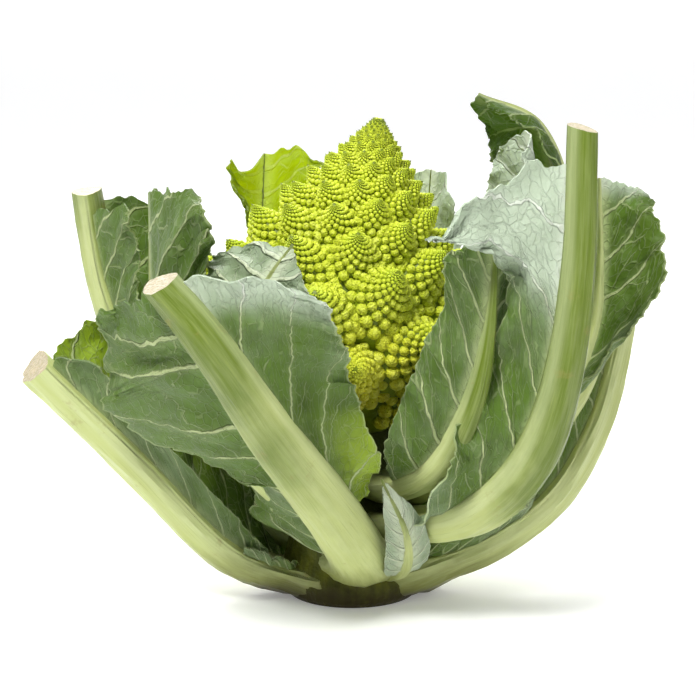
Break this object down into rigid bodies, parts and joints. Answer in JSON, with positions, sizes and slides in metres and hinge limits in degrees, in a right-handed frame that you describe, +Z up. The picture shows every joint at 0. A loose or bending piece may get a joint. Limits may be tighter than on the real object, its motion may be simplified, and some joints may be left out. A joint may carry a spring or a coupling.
{
  "type": "romanesco cauliflower",
  "caption": "Green romanesco cauliflower: a pointed head of spiralled florets held in trimmed wrapper leaves with thick pale midribs, standing on its cut stump.",
  "frame": {"origin": "centre of the stem's cut face, on the surface that the part stands on", "axes": "+Z up along the stem towards the head, -Y towards the front of the view"},
  "size_m": [0.2879, 0.2329, 0.2258],
  "materials": {
    "curd": "fresh bright yellow-green florets, finely studded, matte with a faint moist sheen, olive in the crevices",
    "stem": "pale yellow-green stem, browned and rough at the cut edge",
    "leaf": "waxy blue-green blades with pale raised veins and a thick pale green midrib"
  },
  "bodies": {
    "root": {"stem": "stem", "head": "curd", "leaf_front": "leaf", "leaf_left": "leaf", "leaf_back_left": "leaf", "leaf_left_inner": "leaf", "leaf_front_inner": "leaf", "leaf_back_left_inner": "leaf", "leaf_right_inner": "leaf", "leaf_right": "leaf", "leaf_right_middle": "leaf", "leaf_right_outer": "leaf", "leaf_back_right": "leaf", "leaf_back": "leaf", "leaf_far_right_inner": "leaf", "leaf_back_right_inner": "leaf", "leaf_bract": "leaf"}
  },
  "joints": []
}
